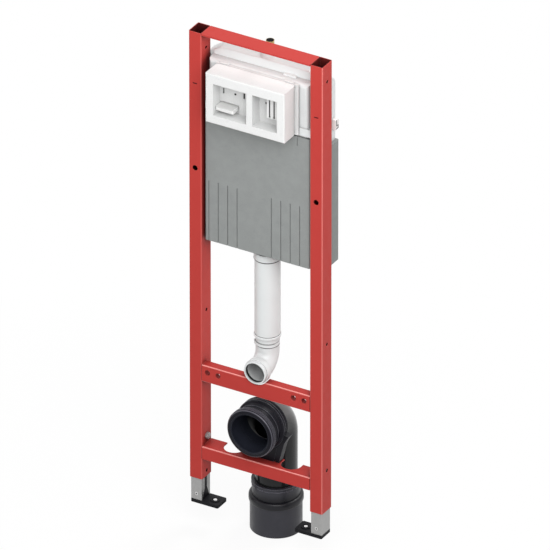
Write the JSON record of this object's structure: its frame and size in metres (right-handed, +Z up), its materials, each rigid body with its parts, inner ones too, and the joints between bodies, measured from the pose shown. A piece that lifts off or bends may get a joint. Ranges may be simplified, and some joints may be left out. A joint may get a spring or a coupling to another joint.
{
  "type": "wall hung toilet frame",
  "caption": "Red steel mounting frame for a wall hung toilet, with a concealed cistern, flush pipe, drain bend and telescopic feet.",
  "frame": {"origin": "underside of the left foot's sole, on the left post's axis", "axes": "+X across the frame to the right post, +Y backwards to the wall, +Z up"},
  "size_m": [0.317, 0.1865, 1.175],
  "materials": {
    "red_coated_steel": "satin powder coat",
    "zinc_plated_steel": "zinc plated",
    "black_plastic": "moulded, matt",
    "white_plastic": "moulded, satin",
    "white_foam": "fine moulded foam",
    "grey_foam": "fine moulded foam",
    "charcoal_plastic": "moulded, satin",
    "dark_grey_plastic": "moulded, satin",
    "black_rubber": "soft seal",
    "brass": "turned"
  },
  "bodies": {
    "left_foot": {"left_foot_channel": "zinc_plated_steel", "left_foot_sole": "black_plastic"},
    "frame": {"left_post": "red_coated_steel", "right_post": "red_coated_steel", "top_bar": "red_coated_steel", "pan_bar": "red_coated_steel", "drain_bar": "red_coated_steel", "left_lock_screw": "zinc_plated_steel", "right_lock_screw": "zinc_plated_steel", "cistern_jacket": "grey_foam", "cistern_tank": "white_plastic", "cistern_lid": "white_plastic", "left_tank_clip": "white_plastic", "right_tank_clip": "white_plastic", "service_flange": "white_foam", "service_box": "white_foam", "push_lever": "white_plastic", "valve_block": "white_plastic", "inlet_nut": "brass", "inlet_stub": "brass", "inlet_cap": "black_plastic", "outlet_socket": "white_plastic", "outlet_seal": "black_rubber", "flush_pipe": "white_plastic", "flush_bend": "white_plastic", "flush_seal": "black_rubber", "drain_connector": "charcoal_plastic", "drain_bend": "dark_grey_plastic", "drain_holder": "black_plastic", "drain_adapter": "charcoal_plastic"},
    "right_foot": {"right_foot_channel": "zinc_plated_steel", "right_foot_sole": "black_plastic"}
  },
  "joints": [
    {"name": "frame_height", "type": "slide", "parent": "left_foot", "child": "frame", "axis": [0, 0, 1], "range_m": [-0.045, 0.14]},
    {"name": "right_foot_extension", "type": "slide", "parent": "frame", "child": "right_foot", "axis": [0, 0, -1], "range_m": [-0.045, 0.14]}
  ],
  "couplings": [
    {"joint": "right_foot_extension", "follows": "frame_height", "ratio": 1}
  ]
}
